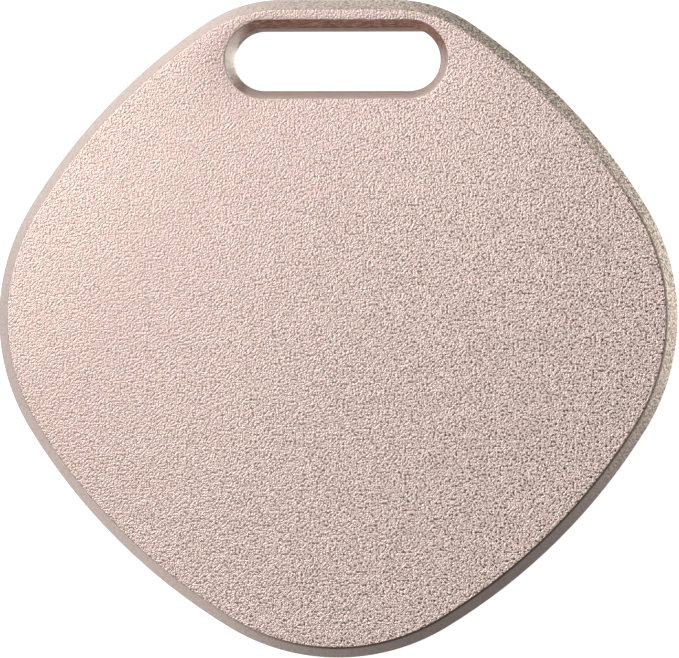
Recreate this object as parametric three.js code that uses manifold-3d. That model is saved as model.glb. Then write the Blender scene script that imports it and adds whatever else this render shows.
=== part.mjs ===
// A Bluetooth tracker tag: a rounded, diamond-like case with a strap slot near its top.
// It lies on its rear face. +Z points out of the front face and +Y towards the strap slot. Units are
// millimetres, and the origin is the middle of the rear face.
//
// The front cover is the push button: it slides a little on a carrier frame, and a pad inside it meets a
// switch. The frame also holds the circuit board and the sounder. It plugs into the rear cover, which
// holds the coin cell.

import * as THREE from "three";
import { mergeVertices } from "three/addons/utils/BufferGeometryUtils.js";
import Module from "manifold-3d";

const wasm = await Module();
wasm.setup();

// ---- Driving dimensions ----

const WIDTH = 44;
const HEIGHT = 42.6;
const THICKNESS = 8;

// The outline is a chain of arcs that touch one another.
const SIDE_CORNER_R = 13.75;
const SIDE_CORNER_Y = 0.7;
const BOTTOM_CORNER_R = 13.6;
const TOP_CORNER_R = 8.7;
const TOP_FLAT = 7.4;
const SIDE_R = 38.7;

const FRONT_CHAMFER = { inset: 0.66, depth: 1.6 };
const REAR_TAPER = { inset: 0.5, depth: 6 };
const REAR_COVER_TOP_Z = 4.2;
const PRY_NOTCH = { width: 8, height: 0.9, depth: 0.8 };

// The strap slot's clear opening, its sloped front edge, and the tube round it.
const SLOT = { width: 13.4, height: 4.05, below_top: 3.9 };
const SLOT_CHAMFER = { inset: 0.52, depth: 0.9 };
const SLOT_END_RELIEF = { length: 0.35, below_face: 1 };
const SLOT_TUBE_T = 0.65;
const SLOT_TUBE_BOTTOM_Z = 0.6;

const FRONT_ROOF_T = 1.1;
const SIDE_WALL_T = 1.1;
const REAR_FLOOR_T = 1.1;
const CAVITY_CORNER_R = 4;
const SLOT_WALL_T = 1.1;

const FRAME_WALL_T = 1.1;
const FRAME_SHELF_W = 2.3;
const FRAME_SHELF_T = 1.6;
const HOOK = { width: 2.4, height: 0.5, out: 0.4, above_edge: 0.65 };
const SEAL_T = 0.4;

const CELL = { r: 10, thickness: 3.2, cap_r: 8.85, lip: 0.35, crown_r: 8.2 };
const CELL_Y = -3.2;
const BAY_WALL_T = 1;
const BAY_DEPTH = 2.4;
const BAY_CONTACT_GAP = 4;
const BAY_FINGER_GAP = 7;
const PAD_T = 0.25;

const STRIP_T = 0.12;
const NEGATIVE_CONTACT = { span: 8.8, arm_w: 2.2 };
const POSITIVE_CONTACT = { foot: 2, drop: 2.2 };
const SOUNDER_CONTACT = { width: 1.2, foot: 1.5, arm: 1.5, overlap: 1 };

const BOARD_T = 0.8;
const BOSS_R = 1.5;
const BOSS_OVERHANG = 0.9;
const SCREW = { head_r: 1.1, head_t: 0.55, crown_r: 0.88, shank_r: 0.55, length: 2.2 };
const SCREW_CROSS = { span: 1.3, width: 0.3, depth: 0.25 };

const SWITCH = { y: 1, side: 3.2, height: 0.5, plunger_r: 0.8, rise: 0.3, floor_t: 0.1 };
const PRESS_TRAVEL = 0.25;
const PRESS_PAD_R = 1.2;

const SOUNDER = { y: -8.6, plate_r: 6, ceramic_r: 4.2, layer_t: 0.12, tape_t: 0.3, tape_w: 0.9 };

// The parts on the board, each with the middle of its foot.
const SHIELD = { x: -9.6, y: 5.2, width: 8.4, depth: 7.6, height: 0.85, wall: 0.15 };
const SHIELD_HOLE = { r: 0.35, pitch: 2.2 };
const RADIO_CHIP = { x: -9.6, y: 5.2, width: 5, depth: 5, height: 0.6 };
const MAIN_CRYSTAL = { x: -3.4, y: 4.4, width: 1.6, depth: 2, height: 0.5 };
const CLOCK_CRYSTAL = { x: -13, y: -3, width: 1.5, depth: 3.2, height: 0.7 };
const ANTENNA_CHIP = { x: 8.6, y: 9.2, width: 7, depth: 2, height: 0.8 };
const ANTENNA_COIL = { x: 3.4, y: 8.2, width: 1, depth: 0.5, height: 0.5 };
const SUPPLY_CAPACITOR_1 = { x: 13, y: -4, width: 3.2, depth: 1.6, height: 0.75 };
const SUPPLY_CAPACITOR_2 = { x: 13, y: -6.6, width: 3.2, depth: 1.6, height: 0.75 };
const FILTER_CAPACITOR = { x: 4.6, y: 5.4, width: 1, depth: 0.5, height: 0.5 };
const SOUNDER_COIL = { x: 10.6, y: 3.4, width: 3, height: 0.75, base_t: 0.25, drum_r: 1, flange_t: 0.2 };

// ---- Clearances ----

const SLIDE_GAP = 0.15; // between pieces that slide past each other
const CELL_GAP = 0.3; // round the coin cell
const HAIR = 0.03; // between layers that rest on each other
const PRESS_GAP = 0.1; // left under the front cover when it is pressed

// ---- Facets and cutting tools ----

const LARGE_STEPS = 72;
const SMALL_STEPS = 24;
const HOLE_STEPS = 12;
const SLOT_END_STEPS = 16;
const BOTTOM_ARC_STEPS = 10;
const SIDE_ARC_STEPS = 8;
const CORNER_ARC_STEPS = 14;
const TOP_ARC_STEPS = 8;
const WELD = 1e-4;
const OVERRUN = 1; // how far a cutting tool reaches past the face it cuts

// ---- Levels, from the rear face upwards ----

const padBottomZ = REAR_FLOOR_T + HAIR;
const cellBottomZ = padBottomZ + PAD_T + HAIR;
const cellTopZ = cellBottomZ + CELL.thickness;
const stripZ = cellTopZ + HAIR;
const boardBottomZ = stripZ + STRIP_T + HAIR;
const boardTopZ = boardBottomZ + BOARD_T;
const shelfTopZ = boardBottomZ - HAIR;
const shelfBottomZ = shelfTopZ - FRAME_SHELF_T;
const sealBottomZ = shelfBottomZ - HAIR - SEAL_T;
const ledgeZ = sealBottomZ - HAIR;
const roofZ = THICKNESS - FRONT_ROOF_T;
const frameTopZ = roofZ - PRESS_TRAVEL - PRESS_GAP;
const frontBottomZ = REAR_COVER_TOP_Z + PRESS_TRAVEL + PRESS_GAP;
const hookZ = frontBottomZ + HOOK.above_edge;
const partsZ = boardTopZ + HAIR;

// ---- Insets of the walls from the outline ----

const frameInset = SIDE_WALL_T + SLIDE_GAP;
const boardInset = frameInset + FRAME_WALL_T + SLIDE_GAP;
const shelfInset = frameInset + FRAME_SHELF_W;

const slotY = HEIGHT / 2 - SLOT.below_top;
const tubeOuter = {
  width: SLOT.width + 2 * (SLOT_END_RELIEF.length + SLOT_TUBE_T),
  height: SLOT.height + 2 * SLOT_TUBE_T,
};
const tubeHole = { width: tubeOuter.width + 2 * SLIDE_GAP, height: tubeOuter.height + 2 * SLIDE_GAP };
// The cavity's upper edge keeps a wall between it and the slot's tube.
const cavityTopY = slotY - tubeHole.height / 2 - SLOT_WALL_T + SIDE_WALL_T;

const bayInnerR = CELL.r + CELL_GAP;
const bayOuterR = bayInnerR + BAY_WALL_T;

// ---- Solids ----

function solidOf(geometry) {
  const bare = geometry.clone();
  bare.deleteAttribute("normal");
  bare.deleteAttribute("uv");
  const merged = mergeVertices(bare, WELD);
  const build = (triVerts) =>
    new wasm.Manifold(
      new wasm.Mesh({
        numProp: 3,
        vertProperties: new Float32Array(merged.attributes.position.array),
        triVerts: new Uint32Array(triVerts),
      }),
    );
  const index = [...merged.index.array];
  const made = build(index);
  return made.volume() < 0 ? build(index.reverse()) : made;
}

function geometryOf(solid) {
  const mesh = solid.getMesh();
  const geometry = new THREE.BufferGeometry();
  geometry.setAttribute("position", new THREE.BufferAttribute(new Float32Array(mesh.vertProperties), 3));
  geometry.setIndex(new THREE.BufferAttribute(new Uint32Array(mesh.triVerts), 1));
  return geometry;
}

const join = (first, ...others) => others.reduce((sum, next) => sum.add(next), first);
const cut = (first, ...others) => others.reduce((rest, next) => rest.subtract(next), first);

// A flat plate between two levels.
function plate(points, z0, z1) {
  const shape = new THREE.Shape(points);
  const geometry = new THREE.ExtrudeGeometry(shape, { depth: z1 - z0, bevelEnabled: false });
  return solidOf(geometry.translate(0, 0, z0));
}

// A plate that spreads by the chamfer's inset as it leaves either end. A negative inset makes it narrow.
function chamferedPlate(points, z0, z1, { inset, depth }) {
  const geometry = new THREE.ExtrudeGeometry(new THREE.Shape(points), {
    depth: z1 - z0 - 2 * depth,
    bevelSize: inset,
    bevelThickness: depth,
    bevelSegments: 1,
  });
  return solidOf(geometry.translate(0, 0, z0 + depth));
}

function box(width, depth, height, x, y, z0) {
  return solidOf(new THREE.BoxGeometry(width, depth, height).translate(x, y, z0 + height / 2));
}

// A closed profile of [radius, level] pairs turned about a vertical axis.
function turned(profile, x = 0, y = 0, steps = SMALL_STEPS) {
  const points = [...profile, profile[0]].map(([r, z]) => new THREE.Vector2(r, z));
  return solidOf(new THREE.LatheGeometry(points, steps).rotateX(Math.PI / 2).translate(x, y, 0));
}

function disc(r, z0, z1, x = 0, y = 0, steps = SMALL_STEPS) {
  const geometry = new THREE.CylinderGeometry(r, r, z1 - z0, steps).rotateX(Math.PI / 2);
  return solidOf(geometry.translate(x, y, (z0 + z1) / 2));
}

function ring(innerR, outerR, z0, z1, x = 0, y = 0, steps = SMALL_STEPS) {
  return turned([[innerR, z0], [outerR, z0], [outerR, z1], [innerR, z1]], x, y, steps);
}

// ---- Outlines ----

// The centre of the long arc that holds both corner circles inside it and touches them.
function sideArcCentre(first, second) {
  const d1 = SIDE_R - first.r;
  const d2 = SIDE_R - second.r;
  const dx = second.x - first.x;
  const dy = second.y - first.y;
  const apart = Math.hypot(dx, dy);
  const along = (d1 * d1 - d2 * d2 + apart * apart) / (2 * apart);
  const off = Math.sqrt(d1 * d1 - along * along);
  const centres = [1, -1].map((sign) => ({
    x: first.x + (along * dx - sign * off * dy) / apart,
    y: first.y + (along * dy + sign * off * dx) / apart,
  }));
  return centres[0].x < centres[1].x ? centres[0] : centres[1];
}

const bottomCorner = { x: 0, y: -HEIGHT / 2 + BOTTOM_CORNER_R, r: BOTTOM_CORNER_R };
const sideCorner = { x: WIDTH / 2 - SIDE_CORNER_R, y: SIDE_CORNER_Y, r: SIDE_CORNER_R };
const topCorner = { x: TOP_FLAT / 2, y: HEIGHT / 2 - TOP_CORNER_R, r: TOP_CORNER_R };
const lowerSide = { ...sideArcCentre(sideCorner, bottomCorner), r: SIDE_R };
const upperSide = { ...sideArcCentre(sideCorner, topCorner), r: SIDE_R };

// The cavity's upper corner touches the same long arc and the cavity's straight upper edge.
const cavityCornerY = cavityTopY - CAVITY_CORNER_R;
const cavityCorner = {
  x: upperSide.x + Math.sqrt((SIDE_R - CAVITY_CORNER_R) ** 2 - (cavityCornerY - upperSide.y) ** 2),
  y: cavityCornerY,
  r: CAVITY_CORNER_R,
};

const direction = (from, to) => Math.atan2(to.y - from.y, to.x - from.x);

// The right half as arcs from the bottom to the top, then the mirrored left half.
function outline(lastCorner, inset) {
  const joints = [
    -Math.PI / 2,
    direction(lowerSide, bottomCorner),
    direction(lowerSide, sideCorner),
    direction(upperSide, sideCorner),
    direction(upperSide, lastCorner),
    Math.PI / 2,
  ];
  const arcs = [
    { ...bottomCorner, steps: BOTTOM_ARC_STEPS },
    { ...lowerSide, steps: SIDE_ARC_STEPS },
    { ...sideCorner, steps: CORNER_ARC_STEPS },
    { ...upperSide, steps: SIDE_ARC_STEPS },
    { ...lastCorner, steps: TOP_ARC_STEPS },
  ];
  const right = arcs.flatMap(({ x, y, r, steps }, n) => {
    const count = n === arcs.length - 1 ? steps + 1 : steps;
    return Array.from({ length: count }, (_, i) => {
      const angle = joints[n] + ((joints[n + 1] - joints[n]) * i) / steps;
      return new THREE.Vector2(x + (r - inset) * Math.cos(angle), y + (r - inset) * Math.sin(angle));
    });
  });
  right[0].x = 0;
  const left = right.slice(1).reverse().map((p) => new THREE.Vector2(-p.x, p.y));
  return [...right, ...left];
}

const tagOutline = (inset = 0) => outline(topCorner, inset);
const cavityOutline = (inset) => outline(cavityCorner, inset);

// A slot with round ends, across the strap slot's centre.
function slotOutline({ width, height }, grow = 0) {
  const r = height / 2 + grow;
  const half = (width - height) / 2;
  const end = (x, from) =>
    Array.from({ length: SLOT_END_STEPS + 1 }, (_, i) => {
      const angle = from + (Math.PI * i) / SLOT_END_STEPS;
      return new THREE.Vector2(x + r * Math.cos(angle), slotY + r * Math.sin(angle));
    });
  return [...end(half, -Math.PI / 2), ...end(-half, Math.PI / 2)];
}

// ---- Places shared by several pieces ----

// The middle of each side of the cavity, with the way out of it.
const sides = [
  { x: WIDTH / 2, y: SIDE_CORNER_Y, out: [1, 0] },
  { x: 0, y: cavityTopY, out: [0, 1] },
  { x: -WIDTH / 2, y: SIDE_CORNER_Y, out: [-1, 0] },
  { x: 0, y: -HEIGHT / 2, out: [0, -1] },
];
const inward = ({ x, y, out }, distance) => ({ x: x - distance * out[0], y: y - distance * out[1] });

// Each boss stands on the frame's shelf and hangs over its inner edge.
const screwPlaces = sides.map((side) => inward(side, shelfInset + BOSS_OVERHANG));

// ---- Case ----

// A hook on the frame's wall, or the pocket for it in the front cover's wall.
function hookBlock(side, spare, z0, z1) {
  const nearInset = frameInset - HOOK.out - spare;
  const farInset = frameInset + FRAME_WALL_T / 2;
  const { x, y } = inward(side, (nearInset + farInset) / 2);
  const deep = farInset - nearInset;
  const wide = HOOK.width + 2 * spare;
  const alongX = side.out[0] !== 0;
  return box(alongX ? deep : wide, alongX ? wide : deep, z1 - z0, x, y, z0);
}

const hooks = () => sides.map((side) => hookBlock(side, 0, hookZ, hookZ + HOOK.height));

// The pockets are tall enough for the front cover to be pressed.
const hookPockets = () => {
  const bottom = hookZ - PRESS_GAP;
  const top = hookZ + HOOK.height + PRESS_TRAVEL + PRESS_GAP;
  return sides.map((side) => hookBlock(side, SLIDE_GAP, bottom, top));
};

// The whole case between two levels: chamfered towards its front face and tapered towards its rear face.
function caseBlock(z0, z1) {
  const front = chamferedPlate(
    tagOutline(FRONT_CHAMFER.inset),
    -FRONT_CHAMFER.depth,
    THICKNESS,
    FRONT_CHAMFER,
  );
  const rear = chamferedPlate(tagOutline(REAR_TAPER.inset), 0, THICKNESS + REAR_TAPER.depth, REAR_TAPER);
  return front.intersect(rear).intersect(box(2 * WIDTH, 2 * HEIGHT, z1 - z0, 0, 0, z0));
}

function frontCover() {
  const shell = cut(
    caseBlock(frontBottomZ, THICKNESS),
    plate(cavityOutline(SIDE_WALL_T), frontBottomZ - OVERRUN, roofZ),
    ...hookPockets(),
  );
  const tube = plate(slotOutline(tubeOuter), SLOT_TUBE_BOTTOM_Z, frontBottomZ + OVERRUN);
  const opening = chamferedPlate(
    slotOutline(SLOT, SLOT_CHAMFER.inset),
    -OVERRUN - SLOT_CHAMFER.depth,
    THICKNESS,
    { inset: -SLOT_CHAMFER.inset, depth: SLOT_CHAMFER.depth },
  );
  // Below the face the slot is a little longer at both ends, which lets a strap lie at a slant.
  const relief = plate(
    slotOutline({ width: SLOT.width + 2 * SLOT_END_RELIEF.length, height: SLOT.height }),
    -OVERRUN,
    THICKNESS - SLOT_END_RELIEF.below_face,
  );
  return cut(join(shell, tube), opening, relief);
}

function rearCover() {
  const notchZ = REAR_COVER_TOP_Z - PRY_NOTCH.height;
  const shell = cut(
    caseBlock(0, REAR_COVER_TOP_Z),
    plate(cavityOutline(SIDE_WALL_T), ledgeZ, THICKNESS),
    plate(cavityOutline(shelfInset), REAR_FLOOR_T, THICKNESS),
    plate(slotOutline(tubeHole), -OVERRUN, THICKNESS),
    box(PRY_NOTCH.width, 2 * PRY_NOTCH.depth, THICKNESS, 0, -HEIGHT / 2, notchZ),
  );
  const bayTop = REAR_FLOOR_T + BAY_DEPTH;
  const bay = ring(bayInnerR, bayOuterR, REAR_FLOOR_T - HAIR, bayTop, 0, CELL_Y, LARGE_STEPS);
  // One gap lets the side contact reach the cell, and the other lets a finger under it.
  const across = BAY_WALL_T + 2 * OVERRUN;
  const wallMiddle = bayInnerR + BAY_WALL_T / 2;
  const contactGap = box(across, BAY_CONTACT_GAP, THICKNESS, wallMiddle, CELL_Y, REAR_FLOOR_T);
  const fingerGap = box(BAY_FINGER_GAP, across, THICKNESS, 0, CELL_Y + wallMiddle, REAR_FLOOR_T);
  return join(shell, cut(bay, contactGap, fingerGap));
}

function carrierFrame() {
  const wall = cut(
    plate(cavityOutline(frameInset), shelfBottomZ, frameTopZ),
    plate(cavityOutline(boardInset - SLIDE_GAP), shelfTopZ, frameTopZ + OVERRUN),
    plate(cavityOutline(shelfInset), shelfBottomZ - OVERRUN, frameTopZ),
  );
  const bosses = screwPlaces.map(({ x, y }) => disc(BOSS_R, shelfBottomZ, shelfTopZ, x, y));
  const pilots = screwPlaces.map(({ x, y }) => {
    const depth = SCREW.length - BOARD_T + HAIR;
    return disc(SCREW.shank_r + HAIR, shelfTopZ - depth, shelfTopZ + OVERRUN, x, y);
  });
  return cut(join(wall, ...bosses, ...hooks()), ...pilots);
}

function sealRing() {
  return cut(
    plate(cavityOutline(frameInset), sealBottomZ, sealBottomZ + SEAL_T),
    plate(cavityOutline(shelfInset - SLIDE_GAP), sealBottomZ - OVERRUN, sealBottomZ + OVERRUN),
  );
}

function pressPad() {
  const bottom = partsZ + SWITCH.height + SWITCH.rise + HAIR;
  return disc(PRESS_PAD_R, bottom, roofZ - HAIR, 0, SWITCH.y);
}

// ---- Power ----

const cellPad = () => disc(CELL.r - CELL.lip, padBottomZ, padBottomZ + PAD_T, 0, CELL_Y, LARGE_STEPS);

function cellCan() {
  const { r, thickness, cap_r: capR, lip } = CELL;
  const wall = (r - capR) / 2;
  const rim = cellBottomZ + thickness - lip;
  return turned(
    [
      [0, cellBottomZ],
      [r - lip, cellBottomZ],
      [r, cellBottomZ + lip],
      [r, rim],
      [r - wall, rim],
      [r - wall, cellBottomZ + lip],
      [0, cellBottomZ + lip],
    ],
    0, CELL_Y, LARGE_STEPS,
  );
}

function cellCap() {
  const { cap_r: capR, crown_r: crownR, lip } = CELL;
  return turned(
    [
      [0, cellBottomZ + 2 * lip],
      [capR, cellBottomZ + 2 * lip],
      [capR, cellTopZ - lip],
      [crownR, cellTopZ],
      [0, cellTopZ],
    ],
    0, CELL_Y, LARGE_STEPS,
  );
}

function cellGrommet() {
  const { r, cap_r: capR, lip } = CELL;
  const outerR = (r + capR) / 2 - HAIR;
  return ring(capR + HAIR, outerR, cellBottomZ + lip + HAIR, cellTopZ - lip, 0, CELL_Y, LARGE_STEPS);
}

// A stamped cross whose four arms reach over the cell's cap.
function negativeContact() {
  const { span, arm_w: armW } = NEGATIVE_CONTACT;
  return join(
    box(span, armW, STRIP_T, 0, CELL_Y, stripZ),
    box(armW, span, STRIP_T, 0, CELL_Y, stripZ),
    disc(armW, stripZ, stripZ + STRIP_T, 0, CELL_Y),
  );
}

// An angle that hangs from the board and stands beside the cell's can.
function positiveContact() {
  const { foot, drop } = POSITIVE_CONTACT;
  const wide = BAY_CONTACT_GAP - 2 * CELL_GAP;
  const x = CELL.r + SLIDE_GAP;
  return join(
    box(foot, wide, STRIP_T, x + foot / 2, CELL_Y, stripZ),
    box(STRIP_T, wide, drop, x + STRIP_T / 2, CELL_Y, stripZ + STRIP_T - drop),
  );
}

// ---- Electronics ----

function circuitBoard() {
  const holeR = SCREW.shank_r + SLIDE_GAP;
  const holes = screwPlaces.map(({ x, y }) =>
    disc(holeR, boardBottomZ - OVERRUN, boardTopZ + OVERRUN, x, y),
  );
  return cut(plate(cavityOutline(boardInset), boardBottomZ, boardTopZ), ...holes);
}

function boardScrew({ x, y }) {
  const top = partsZ + SCREW.head_t;
  const turnedScrew = turned(
    [
      [0, partsZ - SCREW.length],
      [SCREW.shank_r, partsZ - SCREW.length + SCREW.shank_r],
      [SCREW.shank_r, partsZ],
      [SCREW.head_r, partsZ],
      [SCREW.head_r, top - SCREW.head_t / 2],
      [SCREW.crown_r, top],
      [0, top],
    ],
    x, y,
  );
  const { span, width, depth } = SCREW_CROSS;
  const tall = depth + OVERRUN;
  return cut(
    turnedScrew,
    box(span, width, tall, x, y, top - depth),
    box(width, span, tall, x, y, top - depth),
  );
}

function insulatingSheet() {
  const innerR = Math.hypot(NEGATIVE_CONTACT.span, NEGATIVE_CONTACT.arm_w) / 2 + SLIDE_GAP;
  return ring(innerR, CELL.r - CELL_GAP, stripZ, stripZ + STRIP_T, 0, CELL_Y, LARGE_STEPS);
}

// A part on the board, as a plain block.
const onBoard = ({ x, y, width, depth, height }) => box(width, depth, height, x, y, partsZ);

// A thin can with an open underside and a row of small holes in its roof.
function radioShield() {
  const { x, y, width, depth, height, wall } = SHIELD;
  const { r, pitch } = SHIELD_HOLE;
  const inside = box(width - 2 * wall, depth - 2 * wall, height, x, y, partsZ - wall);
  const top = partsZ + height + OVERRUN;
  const holes = [-1, 0, 1].flatMap((column) =>
    [-1, 1].map((row) => disc(r, partsZ, top, x + column * pitch, y + (row * pitch) / 2, HOLE_STEPS)),
  );
  return cut(onBoard(SHIELD), inside, ...holes);
}

// A coil's drum between a square base and a round flange.
function sounderCoil() {
  const { x, y, width, height, base_t: baseT, drum_r: drumR, flange_t: flangeT } = SOUNDER_COIL;
  const top = partsZ + height;
  return join(
    box(width, width, baseT, x, y, partsZ),
    disc(drumR, partsZ, top, x, y),
    disc(width / 2, top - flangeT, top, x, y),
  );
}

function switchBody() {
  const { y, side, height, plunger_r: r, floor_t: floor } = SWITCH;
  const socket = disc(r + SLIDE_GAP, partsZ + floor, partsZ + height + OVERRUN, 0, y);
  return cut(box(side, side, height, 0, y, partsZ), socket);
}

function switchPlunger() {
  const bottom = partsZ + SWITCH.floor_t + PRESS_TRAVEL + HAIR;
  return disc(SWITCH.plunger_r, bottom, partsZ + SWITCH.height + SWITCH.rise, 0, SWITCH.y);
}

// ---- Sounder ----

const plateZ = partsZ + SOUNDER.tape_t + HAIR;
const ceramicZ = plateZ + SOUNDER.layer_t + HAIR;
const ceramicTopZ = ceramicZ + SOUNDER.layer_t;

function sounderTape() {
  const { plate_r: outerR, tape_w: tapeW, tape_t: tapeT, y } = SOUNDER;
  return ring(outerR - tapeW, outerR, partsZ, partsZ + tapeT, 0, y, LARGE_STEPS);
}

const sounderLayer = (r, z0) => disc(r, z0, z0 + SOUNDER.layer_t, 0, SOUNDER.y, LARGE_STEPS);

// A strip with a foot on the board, a riser, and an arm that goes the other way at the upper level.
function foldedStrip(x, arm, z1) {
  const { width, foot } = SOUNDER_CONTACT;
  const { y } = SOUNDER;
  return join(
    box(foot, width, STRIP_T, x + foot / 2, y, partsZ),
    box(STRIP_T, width, z1 - partsZ, x + STRIP_T / 2, y, partsZ),
    box(arm, width, STRIP_T, x + STRIP_T - arm / 2, y, z1 - STRIP_T),
  );
}

// One strip presses on the plate from under it. The other reaches over its edge to the ceramic layer.
const sounderContactPlate = () => foldedStrip(-STRIP_T, SOUNDER_CONTACT.arm, plateZ - HAIR);

function sounderContactCeramic() {
  const x = SOUNDER.plate_r + SLIDE_GAP;
  const arm = x + STRIP_T - SOUNDER.ceramic_r + SOUNDER_CONTACT.overlap;
  return foldedStrip(x, arm, ceramicTopZ + HAIR + STRIP_T);
}

// ---- Assembly ----

const finishes = {
  rose_metal: { color: 0xd2beb8, roughness: 0.35, metalness: 0.9 },
  dark_plastic: { color: 0x2b2a2c, roughness: 0.6, metalness: 0 },
  frame_plastic: { color: 0x3a3b3e, roughness: 0.65, metalness: 0 },
  rubber: { color: 0x1c1c1d, roughness: 0.9, metalness: 0 },
  silicone: { color: 0xb9b5ae, roughness: 0.7, metalness: 0 },
  foam: { color: 0x4a4a4c, roughness: 0.95, metalness: 0 },
  steel: { color: 0xb8bbbe, roughness: 0.3, metalness: 1 },
  bronze: { color: 0xc79a54, roughness: 0.35, metalness: 1 },
  film: { color: 0xc98a2b, roughness: 0.4, metalness: 0 },
  board: { color: 0x14502f, roughness: 0.5, metalness: 0 },
  chip: { color: 0x1b1b1e, roughness: 0.55, metalness: 0 },
  ceramic: { color: 0xe6e2d8, roughness: 0.5, metalness: 0 },
};

const tag = new THREE.Group();
tag.name = "tracker_tag";

function add(name, finish, solid) {
  const mesh = new THREE.Mesh(geometryOf(solid), new THREE.MeshStandardMaterial(finishes[finish]));
  mesh.name = name;
  tag.add(mesh);
}

add("rear_cover", "dark_plastic", rearCover());
add("front_cover", "rose_metal", frontCover());
add("press_pad", "silicone", pressPad());
add("carrier_frame", "frame_plastic", carrierFrame());
add("seal_ring", "rubber", sealRing());
add("cell_pad", "foam", cellPad());
add("cell_can", "steel", cellCan());
add("cell_cap", "steel", cellCap());
add("cell_grommet", "dark_plastic", cellGrommet());
add("negative_contact", "bronze", negativeContact());
add("positive_contact", "bronze", positiveContact());
add("insulating_sheet", "film", insulatingSheet());
add("circuit_board", "board", circuitBoard());
screwPlaces.forEach((place, i) => add(`board_screw_${i + 1}`, "steel", boardScrew(place)));
add("radio_shield", "steel", radioShield());
add("radio_chip", "chip", onBoard(RADIO_CHIP));
add("main_crystal", "steel", onBoard(MAIN_CRYSTAL));
add("clock_crystal", "steel", onBoard(CLOCK_CRYSTAL));
add("antenna_chip", "ceramic", onBoard(ANTENNA_CHIP));
add("antenna_coil", "chip", onBoard(ANTENNA_COIL));
add("supply_capacitor_1", "ceramic", onBoard(SUPPLY_CAPACITOR_1));
add("supply_capacitor_2", "ceramic", onBoard(SUPPLY_CAPACITOR_2));
add("filter_capacitor", "ceramic", onBoard(FILTER_CAPACITOR));
add("sounder_coil", "chip", sounderCoil());
add("switch_body", "steel", switchBody());
add("switch_plunger", "dark_plastic", switchPlunger());
add("sounder_tape", "foam", sounderTape());
add("sounder_plate", "bronze", sounderLayer(SOUNDER.plate_r, plateZ));
add("sounder_ceramic", "ceramic", sounderLayer(SOUNDER.ceramic_r, ceramicZ));
add("sounder_contact_plate", "bronze", sounderContactPlate());
add("sounder_contact_ceramic", "bronze", sounderContactCeramic());

export default tag;
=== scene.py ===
# A Bluetooth tracker tag that lies on its rear cover, with its textured metal front facing up.
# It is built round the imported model, piece by piece, from the front cover inwards.

import math

import bmesh
import bpy
from mathutils import Matrix, Vector


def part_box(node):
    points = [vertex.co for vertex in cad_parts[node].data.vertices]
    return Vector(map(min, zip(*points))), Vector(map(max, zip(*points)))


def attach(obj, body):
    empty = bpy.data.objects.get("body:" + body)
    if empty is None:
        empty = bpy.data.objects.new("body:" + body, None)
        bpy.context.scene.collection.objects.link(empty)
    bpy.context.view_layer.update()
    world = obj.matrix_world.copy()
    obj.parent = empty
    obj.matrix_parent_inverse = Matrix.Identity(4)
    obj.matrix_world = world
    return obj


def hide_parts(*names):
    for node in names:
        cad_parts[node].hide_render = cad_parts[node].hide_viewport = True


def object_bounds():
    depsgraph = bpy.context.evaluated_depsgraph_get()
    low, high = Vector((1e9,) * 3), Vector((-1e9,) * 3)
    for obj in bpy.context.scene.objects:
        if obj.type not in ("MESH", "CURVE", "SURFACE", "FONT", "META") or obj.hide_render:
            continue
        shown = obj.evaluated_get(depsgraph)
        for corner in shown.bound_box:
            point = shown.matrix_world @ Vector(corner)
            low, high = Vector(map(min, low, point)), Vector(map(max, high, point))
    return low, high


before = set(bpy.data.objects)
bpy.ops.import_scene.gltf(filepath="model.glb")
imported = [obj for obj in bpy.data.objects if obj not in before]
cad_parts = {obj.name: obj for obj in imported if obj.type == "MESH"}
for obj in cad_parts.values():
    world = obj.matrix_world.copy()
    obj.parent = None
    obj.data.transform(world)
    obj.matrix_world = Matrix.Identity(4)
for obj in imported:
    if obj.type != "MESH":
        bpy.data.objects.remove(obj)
cad_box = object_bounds()
MM = 0.001

# ---- Camera ----
# A long lens nearly straight above the tag, a little to its right and a little below its middle.

CAMERA_DISTANCE = 1.0
CAMERA_RIGHT = 0.06
CAMERA_BELOW = 0.015
ACROSS_FRAME = 0.04405

case_low, case_high = (Vector(corner) for corner in cad_box)
aim = Vector(((case_low.x + case_high.x) / 2, (case_low.y + case_high.y) / 2, 0.0045))
camera_data = bpy.data.cameras.new("camera")
camera = bpy.data.objects.new("camera", camera_data)
bpy.context.scene.collection.objects.link(camera)
bpy.context.scene.camera = camera
sight = Vector((CAMERA_RIGHT, -CAMERA_BELOW, 1)).normalized()
camera.location = aim + sight * CAMERA_DISTANCE
up_on_tag = Vector((0, 1, 0))
camera_right = up_on_tag.cross(sight).normalized()
camera_up = sight.cross(camera_right)
turn = Matrix((camera_right, camera_up, sight)).transposed()
camera.rotation_euler = turn.to_euler()
camera_data.sensor_width = 36
camera_data.lens = 36 * CAMERA_DISTANCE / ACROSS_FRAME
camera_data.clip_start = 0.01
camera_data.clip_end = 10

# ---- Floor and light ----
# A plain white table top under the tag, with a soft panel above and white cards round it, as in a small
# studio. The table is clear from below, so that the tag's rear face can be seen.

FLOOR_REACH = 6
FLOOR_SQUARES = 61
FLOOR_LEVEL = -0.02

floor_mesh = bpy.data.meshes.new("floor")
floor = bpy.data.objects.new("floor", floor_mesh)
bpy.context.scene.collection.objects.link(floor)
bm = bmesh.new()
under_tag = Matrix.Translation((0, 0, FLOOR_LEVEL * MM))
bmesh.ops.create_grid(
    bm, x_segments=FLOOR_SQUARES, y_segments=FLOOR_SQUARES, size=FLOOR_REACH, matrix=under_tag,
)
bm.to_mesh(floor_mesh)
bm.free()
floor.visible_glossy = False


def new_material(name):
    material = bpy.data.materials.new(name)
    material.use_nodes = True
    shader = material.node_tree.nodes["Principled BSDF"]
    return material, material.node_tree, shader


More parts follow.
